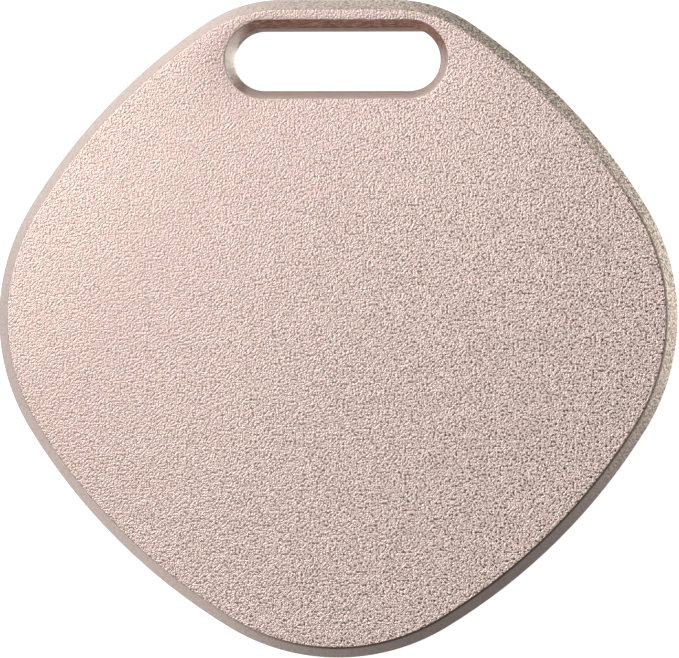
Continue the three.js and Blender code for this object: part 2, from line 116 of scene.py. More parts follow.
table_white, tree, shader = new_material("table_white")
shader.inputs["Base Color"].default_value = (0.9, 0.9, 0.9, 1)
shader.inputs["Roughness"].default_value = 0.9
shader.inputs["Emission Color"].default_value = (1, 1, 1, 1)
shader.inputs["Emission Strength"].default_value = 0.9
underneath = tree.nodes.new("ShaderNodeNewGeometry")
clear = tree.nodes.new("ShaderNodeBsdfTransparent")
one_sided = tree.nodes.new("ShaderNodeMixShader")
tree.links.new(underneath.outputs["Backfacing"], one_sided.inputs[0])
tree.links.new(shader.outputs["BSDF"], one_sided.inputs[1])
tree.links.new(clear.outputs["BSDF"], one_sided.inputs[2])
tree.links.new(one_sided.outputs["Shader"], tree.nodes["Material Output"].inputs["Surface"])
floor_mesh.materials.append(table_white)

# The room is dim above. Round its foot white cards and gaps between them take turns.
world = bpy.data.worlds.new("studio")
bpy.context.scene.world = world
world.use_nodes = True
tree = world.node_tree
room = tree.nodes["Background"]
where = tree.nodes.new("ShaderNodeTexCoord")
compass = tree.nodes.new("ShaderNodeTexGradient")
compass.gradient_type = "RADIAL"
tree.links.new(where.outputs["Generated"], compass.inputs["Vector"])
cards = tree.nodes.new("ShaderNodeValToRGB")
card_levels = [
    (0, 0.72), (45, 0.7), (67, 0.38), (90, 0.22), (115, 0.15), (140, 0.16), (154, 0.6), (172, 1.1),
    (208, 1.35), (222, 0.95), (230, 0.06), (240, 0.05), (258, 0.65), (285, 0.9), (308, 1.05), (340, 0.85),
    (360, 0.72),
]
while len(cards.color_ramp.elements) < len(card_levels):
    cards.color_ramp.elements.new(0.5)
for stop, (degrees, level) in zip(cards.color_ramp.elements, card_levels):
    stop.position = degrees / 360
    stop.color = (level, level * 0.985, level * 0.96, 1)
tree.links.new(compass.outputs["Fac"], cards.inputs["Fac"])
parts = tree.nodes.new("ShaderNodeSeparateXYZ")
tree.links.new(where.outputs["Generated"], parts.inputs["Vector"])
above = tree.nodes.new("ShaderNodeMapRange")
above.inputs["From Min"].default_value = 0.1
above.inputs["From Max"].default_value = 0.6
tree.links.new(parts.outputs["Z"], above.inputs["Value"])
mixed = tree.nodes.new("ShaderNodeMix")
mixed.data_type = "RGBA"
mixed.inputs[7].default_value = (0.22, 0.215, 0.21, 1)
tree.links.new(above.outputs["Result"], mixed.inputs[0])
tree.links.new(cards.outputs["Color"], mixed.inputs[6])
tree.links.new(mixed.outputs[2], room.inputs["Color"])
bpy.context.scene.view_settings.view_transform = "Standard"


# The panel hangs above and to the tag's upper left, and faces the tag.
PANEL_COMPASS = math.radians(142)
PANEL_LIFT = math.radians(62)
PANEL_REACH = 0.55
PANEL_SIZE = 0.28
PANEL_POWER = 1.45

panel_data = bpy.data.lights.new("overhead", "AREA")
panel_data.shape = "SQUARE"
panel_data.size = PANEL_SIZE
panel_data.energy = PANEL_POWER
panel_data.color = (1.0, 0.98, 0.965)
panel = bpy.data.objects.new("overhead", panel_data)
bpy.context.scene.collection.objects.link(panel)
level_reach = math.cos(PANEL_LIFT)
away = Vector((
    level_reach * math.cos(PANEL_COMPASS), level_reach * math.sin(PANEL_COMPASS), math.sin(PANEL_LIFT),
))
panel.location = away * PANEL_REACH
panel.rotation_euler = away.to_track_quat("Z", "Y").to_euler()
panel.visible_camera = False

# ---- Front cover ----
# A die-cast cover in rose gold with a fine leather grain on its face, and a satin rim round it. The strap
# slot's tube hangs from it and passes through the rear cover. Hooks on the carrier frame hold it.


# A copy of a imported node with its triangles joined, its flat faces made whole and its edges eased.
def eased_copy(node, ease, segments):
    mesh = bpy.data.meshes.new(node + "_piece")
    bm = bmesh.new()
    bm.from_mesh(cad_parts[node].data)
    bmesh.ops.remove_doubles(bm, verts=bm.verts, dist=0.0005 * MM)
    bmesh.ops.dissolve_limit(bm, angle_limit=math.radians(0.6), verts=bm.verts, edges=bm.edges)
    for face in bm.faces:
        face.smooth = True
    bm.to_mesh(mesh)
    bm.free()
    piece = bpy.data.objects.new(node + "_piece", mesh)
    bpy.context.scene.collection.objects.link(piece)
    rounding = piece.modifiers.new("eased edges", "BEVEL")
    rounding.width = ease * MM
    rounding.segments = segments
    rounding.limit_method = "ANGLE"
    rounding.angle_limit = math.radians(28)
    rounding.harden_normals = True
    return piece


# Ties a piece to the imported model: what it stands for and what it rides on.
def place(piece, node, body):
    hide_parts(node)
    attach(piece, body)


def add_node(tree, kind, **values):
    node = tree.nodes.new(kind)
    for key, value in values.items():
        setattr(node, key, value)
    return node


# Object coordinates in millimetres.
def millimetres(tree, stretch=(1, 1, 1), turn=0):
    where = add_node(tree, "ShaderNodeTexCoord")
    scale = add_node(tree, "ShaderNodeMapping")
    scale.inputs["Scale"].default_value = [1 / MM * s for s in stretch]
    scale.inputs["Rotation"].default_value = (0, 0, turn)
    tree.links.new(where.outputs["Object"], scale.inputs["Vector"])
    return scale.outputs["Vector"]


def noise(tree, vector, scale, detail=2, rough=0.5, warp=0):
    node = add_node(tree, "ShaderNodeTexNoise")
    node.inputs["Scale"].default_value = scale
    node.inputs["Detail"].default_value = detail
    node.inputs["Roughness"].default_value = rough
    node.inputs["Distortion"].default_value = warp
    tree.links.new(vector, node.inputs["Vector"])
    return node.outputs["Fac"]


def colour_steps(tree, value, *stops):
    ramp = add_node(tree, "ShaderNodeValToRGB")
    while len(ramp.color_ramp.elements) < len(stops):
        ramp.color_ramp.elements.new(0.5)
    for element, (place_at, colour) in zip(ramp.color_ramp.elements, stops):
        element.position = place_at
        element.color = colour if len(colour) == 4 else (*colour, 1)
    tree.links.new(value, ramp.inputs["Fac"])
    return ramp.outputs["Color"]


def spread(tree, value, low, high, from_low=0, from_high=1):
    node = add_node(tree, "ShaderNodeMapRange")
    for key, number in (("From Min", from_low), ("From Max", from_high), ("To Min", low), ("To Max", high)):
        node.inputs[key].default_value = number
    tree.links.new(value, node.inputs["Value"])
    return node.outputs["Result"]


def sum_of(tree, first, second, share):
    node = add_node(tree, "ShaderNodeMath", operation="MULTIPLY_ADD")
    node.inputs[1].default_value = share
    tree.links.new(second, node.inputs[0])
    tree.links.new(first, node.inputs[2])
    return node.outputs["Value"]


# Adds relief to a finish, with its depth in millimetres.
def raise_surface(tree, shader, height, depth):
    bump = add_node(tree, "ShaderNodeBump")
    bump.inputs["Distance"].default_value = depth * MM
    bump.inputs["Strength"].default_value = 1
    tree.links.new(height, bump.inputs["Height"])
    tree.links.new(bump.outputs["Normal"], shader.inputs["Normal"])
    return bump


# Goes from the first colour to the second, which is a socket or a plain colour.
def blend(tree, share, first, second):
    node = add_node(tree, "ShaderNodeMix", data_type="RGBA")
    tree.links.new(share, node.inputs[0])
    tree.links.new(first, node.inputs[6])
    if isinstance(second, tuple):
        node.inputs[7].default_value = (*second, 1)
    else:
        tree.links.new(second, node.inputs[7])
    return node.outputs[2]


# Rises from 0 to 1 across the tag in one direction, between two distances from its middle.
def share_towards(tree, where, direction, begin, end):
    node = add_node(tree, "ShaderNodeVectorMath", operation="DOT_PRODUCT")
    node.inputs[1].default_value = direction
    tree.links.new(where, node.inputs[0])
    return spread(tree, node.outputs["Value"], 0, 1, begin, end)


# The face's leather grain. Its pits are tinted a little darker as painted shade. Towards the lower right,
# painted shade in the pits and painted highlights on the tops grow stronger, and the relief gets deeper.
grained_rose, tree, shader = new_material("grained_rose_gold")
shader.inputs["Metallic"].default_value = 0.82
shader.inputs["Roughness"].default_value = 0.41
where = millimetres(tree)
coarse = noise(tree, where, 7, 1)
fine = noise(tree, where, 13, 1, 0.6)
grain = spread(tree, sum_of(tree, coarse, fine, 0.3), 0, 1, 0.42, 0.76)
grain_bump = raise_surface(tree, shader, grain, 0.024)
# Base tint: the grain's pits are a little darker, which is painted shade.
base_tint = colour_steps(
    tree, grain, (0.05, (0.45, 0.345, 0.315)), (0.42, (0.7, 0.55, 0.507)), (1.0, (0.7, 0.555, 0.512)),
)
# Painted shade in the pits and painted highlights on the grain's tops.
painted_light_tint = colour_steps(
    tree, grain, (0.17, (0.07, 0.045, 0.04)), (0.48, (0.83, 0.64, 0.585)), (0.8, (1, 0.84, 0.78)),
)
# Share of painted light and deeper relief, rising towards the lower right.
painted_light_and_relief = share_towards(tree, where, (1, -0.7, 0), -15, 20)
tree.links.new(spread(tree, painted_light_and_relief, 0.52, 1.4), grain_bump.inputs["Strength"])
tree.links.new(blend(tree, painted_light_and_relief, base_tint, painted_light_tint), shader.inputs["Base Color"])

# The rim is satin. Towards the upper right its speckles carry painted glints and painted shade, and their
# relief is deeper. A painted shade line runs under the face's edge at the right.
satin_rose, tree, shader = new_material("satin_rose_gold")
shader.inputs["Metallic"].default_value = 0.9
shader.inputs["Roughness"].default_value = 0.3
where = millimetres(tree)
speckle = noise(tree, where, 6, 2, 0.6)
speckle_bump = raise_surface(tree, shader, speckle, 0.12)
base_tint = colour_steps(tree, speckle, (0.35, (0.68, 0.54, 0.49)), (0.6, (0.84, 0.7, 0.65)))
# Painted shade and painted glints in the rim's speckle.
painted_light_tint = colour_steps(
    tree, speckle, (0.38, (0.2, 0.14, 0.11)), (0.5, (0.68, 0.56, 0.48)), (0.62, (1, 0.9, 0.74)),
)
# Share of painted glints and deeper relief, rising towards the upper right.
painted_light_and_relief = share_towards(tree, where, (0.8, 0.6, 0), 6, 19)
tree.links.new(spread(tree, painted_light_and_relief, 0.3, 1), speckle_bump.inputs["Strength"])
sides = add_node(tree, "ShaderNodeSeparateXYZ")
tree.links.new(where, sides.inputs["Vector"])
top_edge = spread(tree, sum_of(tree, sides.outputs["Z"], speckle, 0.3), 0, 1, 7.8, 8.0)
lower_right = share_towards(tree, where, (0.8, -0.6, 0), 4, 12)
# A painted shade line along the rim's top edge, towards the lower right.
painted_edge_shade = add_node(tree, "ShaderNodeMath", operation="MULTIPLY")
tree.links.new(top_edge, painted_edge_shade.inputs[0])
tree.links.new(spread(tree, lower_right, 0, 0.85), painted_edge_shade.inputs[1])
edged = blend(tree, painted_edge_shade.outputs["Value"], blend(tree, painted_light_and_relief, base_tint, painted_light_tint), (0.14, 0.09, 0.075))
tree.links.new(edged, shader.inputs["Base Color"])

# The slot's wall is streaked. Along its upper side it is darkened with painted shade. At its left end it is
# whitened with a painted reflection, and made more metallic and glossier.
slot_rose, tree, shader = new_material("slot_rose_gold")
where = millimetres(tree)
streaks = noise(tree, millimetres(tree, (1, 2, 5)), 2.4, 3, 0.65, 0.4)
raise_surface(tree, shader, streaks, 0.05)
sides = add_node(tree, "ShaderNodeSeparateXYZ")
tree.links.new(where, sides.inputs["Vector"])
# The streaks, plus painted shade that darkens the slot's upper side.
streaks_and_painted_shade = sum_of(tree, spread(tree, sides.outputs["Y"], 0, 0.5, 15.6, 18.6), streaks, 0.9)
# The left end takes a painted reflection in its colour, and it is also more metallic and smoother.
left_end_painted_reflection = spread(tree, sides.outputs["X"], 1, 0, -6.4, -5.6)
slot_tint = colour_steps(
    tree, streaks_and_painted_shade, (0.3, (1, 0.84, 0.78)), (0.65, (0.92, 0.76, 0.7)), (1.0, (0.33, 0.15, 0.1)),
)
tree.links.new(spread(tree, left_end_painted_reflection, 0.5, 1), shader.inputs["Metallic"])
tree.links.new(spread(tree, left_end_painted_reflection, 0.34, 0.14), shader.inputs["Roughness"])
tree.links.new(blend(tree, left_end_painted_reflection, slot_tint, (1, 0.96, 0.9)), shader.inputs["Base Color"])

# The case's outline is three corner arcs joined by long side arcs. Each arc is its centre and its radius.
WIDTH, HEIGHT, THICKNESS = 44, 42.6, 8
SIDE_CORNER = (WIDTH / 2 - 13.75, 0.7, 13.75)
BOTTOM_CORNER = (0, -HEIGHT / 2 + 13.6, 13.6)
TOP_CORNER = (3.7, HEIGHT / 2 - 8.7, 8.7)
SIDE_R = 38.7
FRONT_BOTTOM, TAPER_TOP, CAVITY_ROOF, SIDE_WALL = 4.55, 6, 6.9, 1.1
SLOT_Y, SLOT_STRAIGHT, SLOT_R = HEIGHT / 2 - 3.9, (13.4 - 4.05) / 2, 4.05 / 2
RIM, RIM_DROP = 0.66, 1.6
SLOT_RIM, SLOT_RIM_DROP = 0.52, 0.9
TUBE_WALL, TUBE_FOOT, END_RELIEF = 0.65, 0.6, 0.35
EASE = 0.05
ARC_STEPS = (20, 16, 28, 16, 24)
SLOT_END_STEPS = 48


# The centre of a long side arc that touches the insides of two corner arcs.
def side_centre(first, second):
    (x1, y1, r1), (x2, y2, r2) = first, second
    d1, d2 = SIDE_R - r1, SIDE_R - r2
    dx, dy = x2 - x1, y2 - y1
    apart = math.hypot(dx, dy)
    along = (d1 * d1 - d2 * d2 + apart * apart) / (2 * apart)
    off = math.sqrt(d1 * d1 - along * along)
    return min(
        (x1 + (along * dx - side * off * dy) / apart, y1 + (along * dy + side * off * dx) / apart)
        for side in (1, -1)
    )


def heading(start, end):
    return math.atan2(end[1] - start[1], end[0] - start[0])


LOWER_SIDE = (*side_centre(SIDE_CORNER, BOTTOM_CORNER), SIDE_R)
UPPER_SIDE = (*side_centre(SIDE_CORNER, TOP_CORNER), SIDE_R)


# Spins a point through each arc in turn, and returns the open chain of points.
def spin_chain(bm, z, inset, turns):
    (x, y, r), begin = turns[0][0], turns[0][1]
    tip = bm.verts.new((x + (r - inset) * math.cos(begin), y + (r - inset) * math.sin(begin), z))
    chain = [tip]
    for (x, y, r), begin, end, steps in turns:
        known = set(bm.verts)
        bmesh.ops.spin(bm, geom=[tip], cent=(x, y, z), axis=(0, 0, 1), angle=end - begin, steps=steps)
        fresh = [vert for vert in bm.verts if vert not in known]
        chain += sorted(fresh, key=lambda vert: heading((x, y), vert.co) % math.tau)
        tip = max(fresh, key=lambda vert: (math.atan2(vert.co.y - y, vert.co.x - x) - begin) % math.tau)
    return chain


# Closes a chain with its mirror image across the tag's middle, and returns the loop's edges.
def close_across(bm, chain):
    edges = list(dict.fromkeys(edge for vert in chain for edge in vert.link_edges))
    twin = bmesh.ops.mirror(bm, geom=chain + edges, matrix=Matrix.Identity(4), merge_dist=-1, axis="X")
    loop = chain + [item for item in twin["geom"] if isinstance(item, bmesh.types.BMVert)]
    welded = [vert for vert in loop if abs(vert.co.x) < 1e-5]
    if len(welded) == 2:
        bmesh.ops.pointmerge(bm, verts=welded, merge_co=welded[0].co)
    loop = [vert for vert in loop if vert.is_valid]
    ends = sorted((vert for vert in loop if len(vert.link_edges) == 1), key=lambda vert: vert.co.y)
    for first, second in zip(ends[::2], ends[1::2]):
        bm.edges.new((first, second))
    return list(dict.fromkeys(edge for vert in loop for edge in vert.link_edges))


# The case's outline at one level. The cavity's outline ends in a corner of its own.
def tag_loop(bm, inset, z, last=TOP_CORNER):
    turns = [
        (BOTTOM_CORNER, -math.pi / 2, heading(LOWER_SIDE, BOTTOM_CORNER), ARC_STEPS[0]),
        (LOWER_SIDE, heading(LOWER_SIDE, BOTTOM_CORNER), heading(LOWER_SIDE, SIDE_CORNER), ARC_STEPS[1]),
        (SIDE_CORNER, heading(LOWER_SIDE, SIDE_CORNER), heading(UPPER_SIDE, SIDE_CORNER), ARC_STEPS[2]),
        (UPPER_SIDE, heading(UPPER_SIDE, SIDE_CORNER), heading(UPPER_SIDE, last), ARC_STEPS[3]),
        (last, heading(UPPER_SIDE, last), math.pi / 2, ARC_STEPS[4]),
    ]
    return close_across(bm, spin_chain(bm, z, inset, turns))


def slot_loop(bm, grow, z, longer=0):
    end = (SLOT_STRAIGHT + longer, SLOT_Y, SLOT_R)
    return close_across(bm, spin_chain(bm, z, -grow, [(end, -math.pi / 2, math.pi / 2, SLOT_END_STEPS)]))


# Joins a stack of loops with walls, and returns its first and last loops.
def wall_of(bm, loops):
    for lower, upper in zip(loops, loops[1:]):
        bmesh.ops.bridge_loops(bm, edges=lower + upper)
    return loops[0], loops[-1]


# A chamfer's [inset, drop] pairs from its foot to its top. Its middle is flat, and its two edges are
# small arcs.
def eased_chamfer(across, down):
    reach = math.hypot(across, down)
    ux, uz = across / reach, down / reach
    return [
        (0, -down - EASE), (ux * EASE * 0.25, -down - EASE * 0.4), (ux * EASE, -down + uz * EASE),
        (across - ux * EASE, -uz * EASE), (across + EASE * 0.4, -uz * EASE * 0.25), (across + EASE, -0.004),
        (across + 2 * EASE, 0),
    ]


# The cavity stops below the slot with a corner that touches the same side arc.
CAVITY_TOP = SLOT_Y - SLOT_R - 0.8
cavity_corner_y = CAVITY_TOP - 4
cavity_corner_x = UPPER_SIDE[0] + math.sqrt((SIDE_R - 4) ** 2 - (cavity_corner_y - UPPER_SIDE[1]) ** 2)
CAVITY_CORNER = (cavity_corner_x, cavity_corner_y, 4)


# The case narrows a little from the foot of the front chamfer down to its rear face.
def taper(z):
    return 0.5 * (1 - min(z, TAPER_TOP) / TAPER_TOP)


bm = bmesh.new()
skin = [tag_loop(bm, taper(z), z) for z in (FRONT_BOTTOM + EASE, TAPER_TOP)]
skin += [tag_loop(bm, inset, THICKNESS + drop) for inset, drop in eased_chamfer(RIM, RIM_DROP)]
skirt, face_edge = wall_of(bm, skin)
slot_chamfer = reversed(eased_chamfer(SLOT_RIM, SLOT_RIM_DROP))
tube = [slot_loop(bm, inset, THICKNESS + drop) for inset, drop in slot_chamfer]
tube.append(slot_loop(bm, 0, THICKNESS - 1))
tube += [slot_loop(bm, grow, z, END_RELIEF) for grow, z in (
    (0, THICKNESS - 1.05), (0, TUBE_FOOT + EASE), (EASE, TUBE_FOOT + 0.004), (TUBE_WALL - EASE, TUBE_FOOT),
    (TUBE_WALL, TUBE_FOOT + EASE), (TUBE_WALL, FRONT_BOTTOM),
)]
face_slot, tube_root = wall_of(bm, tube)
underside = tag_loop(bm, taper(FRONT_BOTTOM) + EASE, FRONT_BOTTOM)
bmesh.ops.bridge_loops(bm, edges=skirt + underside)
cavity = [tag_loop(bm, SIDE_WALL, z, CAVITY_CORNER) for z in (FRONT_BOTTOM, CAVITY_ROOF)]
mouth, roof = wall_of(bm, cavity)
bmesh.ops.triangle_fill(bm, use_beauty=True, use_dissolve=False, edges=face_edge + face_slot)
bmesh.ops.triangle_fill(bm, use_beauty=True, use_dissolve=False, edges=underside + tube_root + mouth)
bmesh.ops.triangle_fill(bm, use_beauty=True, use_dissolve=False, edges=roof)
bmesh.ops.recalc_face_normals(bm, faces=bm.faces)
bm.normal_update()
# The grain covers the face, the slot's finish covers its chamfer and its tube, and the rest is satin.
for face in bm.faces:
    face.smooth = abs(face.normal.z) < 0.9999
    middle = face.calc_center_median()
    from_slot = math.hypot(max(abs(middle.x) - SLOT_STRAIGHT, 0), middle.y - SLOT_Y)
    in_slot = from_slot < SLOT_R + 0.75 and middle.z < THICKNESS
    face.material_index = 0 if middle.z > THICKNESS - 0.02 else 2 if in_slot else 1
bmesh.ops.scale(bm, vec=(MM, MM, MM), verts=bm.verts)
mesh = bpy.data.meshes.new("front_shell")
bm.to_mesh(mesh)
bm.free()
mesh.set_sharp_from_angle(angle=math.radians(32))
front = bpy.data.objects.new("front_shell", mesh)
bpy.context.scene.collection.objects.link(front)
for finish in (grained_rose, satin_rose, slot_rose):
    front.data.materials.append(finish)

# The middles of the cavity's four sides, and the way out from each.
HOOK_SIDES = [
    ((WIDTH / 2, 0.7), (1, 0)), ((0, CAVITY_TOP), (0, 1)),
    ((-WIDTH / 2, 0.7), (-1, 0)), ((0, -HEIGHT / 2), (0, -1)),
]


# Cuts boxes out of a piece. Each box is its middle and its size, in millimetres.
def cut_boxes(piece, boxes):
    cutter_mesh = bpy.data.meshes.new("cutter")
    cutter_bm = bmesh.new()
    for middle, size in boxes:
        lie = Matrix.Translation(Vector(middle) * MM) @ Matrix.Diagonal((*(Vector(size) * MM), 1))
        bmesh.ops.create_cube(cutter_bm, size=1, matrix=lie)
    cutter_bm.to_mesh(cutter_mesh)
    cutter_bm.free()
    cutter = bpy.data.objects.new("cutter", cutter_mesh)
    bpy.context.scene.collection.objects.link(cutter)
    cut = piece.modifiers.new("cut", "BOOLEAN")
    cut.operation = "DIFFERENCE"
    cut.solver = "EXACT"
    cut.object = cutter
    finished = piece.evaluated_get(bpy.context.evaluated_depsgraph_get())
    cut_mesh = bpy.data.meshes.new_from_object(finished)
    piece.modifiers.clear()
    piece.data = cut_mesh
    bpy.data.objects.remove(cutter)
    bpy.data.meshes.remove(cutter_mesh)


# Four pockets inside the wall take the carrier frame's hooks.
cut_boxes(front, [
    ((x - 1.25 * out_x, y - 1.25 * out_y, 5.575), (1.1, 2.7, 0.95) if out_x else (2.7, 1.1, 0.95))
    for (x, y), (out_x, out_y) in HOOK_SIDES
])
place(front, "front_cover", "face")

# ---- Rear cover ----
# A moulded tray in dark plastic with a fine spark texture. Its floor carries a ring for the coin cell,
# the strap slot's tube passes through it, and a notch in its bottom edge takes a coin to pry the case
# open.


# A finish whose tint wanders between two colours, with a fine relief.
def mottled(name, dark, light, scale, relief, rough, metal=0):
    material, tree, shader = new_material(name)
    where = millimetres(tree)
    broad = noise(tree, where, scale * 0.12, 2)
    fine = noise(tree, where, scale, 3, 0.6)
    tint = colour_steps(tree, sum_of(tree, broad, fine, 0.3), (0.5, dark), (0.8, light))
    tree.links.new(tint, shader.inputs["Base Color"])
    tree.links.new(spread(tree, fine, rough + 0.1, rough - 0.1, 0.3, 0.7), shader.inputs["Roughness"])
    shader.inputs["Metallic"].default_value = metal
    raise_surface(tree, shader, fine, relief)
    return material, tree, shader


rear_plastic = mottled("rear_plastic", (0.036, 0.034, 0.034), (0.044, 0.042, 0.041), 6, 0.02, 0.5)[0]
bm = bmesh.new()
levels = [(0.24, 0), (0.2, 0.004), (0.06, 0.05), (0, 0.2), (0, 4.1), (0.03, 4.17), (0.1, 4.2)]
rear_foot, rear_rim = wall_of(bm, [tag_loop(bm, taper(z) + ease, z) for ease, z in levels])
sleeve_levels = [(0.2, 0), (0.1, 0.05), (0, 0.2), (0, 4.1), (0.1, 4.2)]
sleeve = [slot_loop(bm, 0.8 + ease, z, END_RELIEF) for ease, z in sleeve_levels]
sleeve_foot, sleeve_rim = wall_of(bm, sleeve)
tray = [(1, 4.2), (SIDE_WALL, 4.1), (SIDE_WALL, 2.7), (3.45, 2.695), (3.55, 2.6), (3.55, 1.2), (3.65, 1.1)]
tray_rim, tray_floor = wall_of(bm, [tag_loop(bm, inset, z, CAVITY_CORNER) for inset, z in tray])
bmesh.ops.triangle_fill(bm, use_beauty=True, use_dissolve=False, edges=rear_foot + sleeve_foot)
bmesh.ops.triangle_fill(bm, use_beauty=True, use_dissolve=False, edges=rear_rim + sleeve_rim + tray_rim)
bmesh.ops.triangle_fill(bm, use_beauty=True, use_dissolve=False, edges=tray_floor)
bmesh.ops.recalc_face_normals(bm, faces=bm.faces)
bmesh.ops.scale(bm, vec=(MM, MM, MM), verts=bm.verts)
mesh = bpy.data.meshes.new("rear_shell")
bm.to_mesh(mesh)
bm.free()
rear = bpy.data.objects.new("rear_shell", mesh)
bpy.context.scene.collection.objects.link(rear)
cut_boxes(rear, [((0, -HEIGHT / 2, 5.3), (8, 1.6, 4))])

# The ring that holds the coin cell, with a gap for a contact and a gap for a finger.
CELL_Y = -3.2


# Spins a closed profile of [radius, level] pairs once round the cell's axis.
def turned_ring(bm, profile, centre):
    loop = [bm.verts.new((centre[0] + r, centre[1], z)) for r, z in profile]
    edges = [bm.edges.new(pair) for pair in zip(loop, loop[1:] + loop[:1])]
    bmesh.ops.spin(
        bm, geom=loop + edges, cent=(*centre, 0), axis=(0, 0, 1), angle=math.tau, steps=96, use_merge=True,
    )


bm = bmesh.new()
ring_profile = [(10.3, 1.0), (11.3, 1.0), (11.3, 3.4), (11.2, 3.5), (10.45, 3.5), (10.3, 3.35)]
turned_ring(bm, ring_profile, (0, CELL_Y))
bmesh.ops.recalc_face_normals(bm, faces=bm.faces)
bmesh.ops.scale(bm, vec=(MM, MM, MM), verts=bm.verts)
ring_mesh = bpy.data.meshes.new("cell_ring")
bm.to_mesh(ring_mesh)
bm.free()
ring = bpy.data.objects.new("cell_ring", ring_mesh)
bpy.context.scene.collection.objects.link(ring)
cut_boxes(ring, [((10.8, CELL_Y, 5.1), (3, 4, 8)), ((0, CELL_Y + 10.8, 5.1), (7, 3, 8))])
for piece in (rear, ring):
    for face in piece.data.polygons:
        face.use_smooth = abs(face.normal.z) < 0.9999
    piece.data.set_sharp_from_angle(angle=math.radians(32))
    piece.data.materials.clear()
    piece.data.materials.append(rear_plastic)
    place(piece, "rear_cover", "rear_case")


# A node's own shape with its edges eased and its own finish.
def finished_copy(node, body, finish, ease, segments=2):
    piece = eased_copy(node, ease, segments)
    piece.data.materials.append(finish)
    place(piece, node, body)
    return piece


# ---- Carrier frame and press pad ----
# The frame is moulded in dark grey nylon. It clips into the front cover with four hooks and carries
# everything that is screwed or glued. The pad is a dot of pale silicone glued inside the front cover.

frame_plastic = mottled("frame_nylon", (0.04, 0.042, 0.046), (0.075, 0.078, 0.084), 4, 0.008, 0.6)[0]
finished_copy("carrier_frame", "frame", frame_plastic, 0.08)
silicone, tree, shader = mottled("pad_silicone", (0.5, 0.48, 0.44), (0.62, 0.6, 0.56), 3, 0.01, 0.5)
shader.inputs["Subsurface Weight"].default_value = 0.15
shader.inputs["Subsurface Scale"].default_value = 0.0005
finished_copy("press_pad", "face", silicone, 0.1)

# ---- Seal ring and cell pad ----
# A flat gasket of black rubber is pinched between the rear cover's ledge and the frame. A disc of open
# foam under the cell keeps it from rattling.

rubber = mottled("seal_rubber", (0.014, 0.014, 0.015), (0.03, 0.03, 0.031), 9, 0.01, 0.75)[0]
finished_copy("seal_ring", "rear_case", rubber, 0.08)
foam, tree, shader = new_material("cell_foam")
cells = add_node(tree, "ShaderNodeTexVoronoi")
cells.inputs["Scale"].default_value = 5
tree.links.new(millimetres(tree), cells.inputs["Vector"])
tint = colour_steps(tree, cells.outputs["Distance"], (0.1, (0.02, 0.02, 0.022)), (0.7, (0.09, 0.09, 0.095)))
tree.links.new(tint, shader.inputs["Base Color"])
shader.inputs["Roughness"].default_value = 0.95
raise_surface(tree, shader, cells.outputs["Distance"], 0.08)
finished_copy("cell_pad", "rear_case", foam, 0.05)

# ---- Coin cell ----
# A deep-drawn can of plated steel, closed by a cap that a nylon grommet keeps apart from it. Both were
# turned in handling, so they carry faint rings and scratches.


# Steel with rings round an axis, scratches and a few dull patches.
def ringed_steel(name, centre, tint_low, tint_high, rough):
    material, tree, shader = new_material(name)
    shader.inputs["Metallic"].default_value = 1
    where = add_node(tree, "ShaderNodeTexCoord")
    middle = add_node(tree, "ShaderNodeMapping")
    middle.inputs["Location"].default_value = (-centre[0] / MM, -centre[1] / MM, 0)
    middle.inputs["Scale"].default_value = (1 / MM, 1 / MM, 0)
    tree.links.new(where.outputs["Object"], middle.inputs["Vector"])
    reach = add_node(tree, "ShaderNodeVectorMath", operation="LENGTH")
    tree.links.new(middle.outputs["Vector"], reach.inputs[0])
    radius = add_node(tree, "ShaderNodeCombineXYZ")
    tree.links.new(reach.outputs["Value"], radius.inputs["X"])
    rings = noise(tree, radius.outputs["Vector"], 7, 3, 0.7)
    scratches = noise(tree, millimetres(tree, (0.3, 6, 6), 0.6), 1.5, 3, 0.7)
    patches = noise(tree, millimetres(tree), 0.35, 3)
    worn = sum_of(tree, rings, scratches, 0.5)
    tint = colour_steps(tree, patches, (0.35, tint_low), (0.65, tint_high))
    tree.links.new(tint, shader.inputs["Base Color"])
    tree.links.new(spread(tree, worn, rough - 0.08, rough + 0.12, 0.5, 1), shader.inputs["Roughness"])
    raise_surface(tree, shader, worn, 0.004)
    return material


cell_steel = ringed_steel("cell_steel", (0, CELL_Y), (0.55, 0.55, 0.54), (0.68, 0.68, 0.67), 0.3)
cap_steel = ringed_steel("cap_steel", (0, CELL_Y), (0.5, 0.5, 0.5), (0.62, 0.62, 0.61), 0.36)
grommet = mottled("grommet_nylon", (0.1, 0.11, 0.1), (0.17, 0.18, 0.16), 6, 0.01, 0.5)[0]
finished_copy("cell_can", "cell", cell_steel, 0.08, 3)
finished_copy("cell_cap", "cell", cap_steel, 0.08, 3)
finished_copy("cell_grommet", "cell", grommet, 0.05)

# ---- Contacts and insulating sheet ----
# The contacts are stamped from gold-plated bronze strip, rolled along its length, and soldered to the
# board. The sheet is amber polyimide film that keeps the cell off the board.


# Plated strip with rolling lines along x and a few dull patches.
def plated_strip(name, low, high, rough, lines=(0.4, 8, 8)):
    material, tree, shader = new_material(name)
    shader.inputs["Metallic"].default_value = 1
    rolled = noise(tree, millimetres(tree, lines), 1.5, 3, 0.6)
    patches = noise(tree, millimetres(tree), 0.7, 3)
    tree.links.new(colour_steps(tree, patches, (0.35, low), (0.65, high)), shader.inputs["Base Color"])
    tree.links.new(spread(tree, rolled, rough - 0.08, rough + 0.1, 0.3, 0.7), shader.inputs["Roughness"])
    raise_surface(tree, shader, rolled, 0.004)
    return material


plated_bronze = plated_strip("plated_bronze", (0.6, 0.42, 0.19), (0.74, 0.55, 0.28), 0.3)
for node in ("negative_contact", "positive_contact", "sounder_contact_plate", "sounder_contact_ceramic"):
    finished_copy(node, "frame", plated_bronze, 0.025)
amber_film, tree, shader = mottled("amber_film", (0.42, 0.17, 0.02), (0.55, 0.25, 0.04), 3, 0.003, 0.3)
shader.inputs["Coat Weight"].default_value = 0.3
finished_copy("insulating_sheet", "frame", amber_film, 0.02)
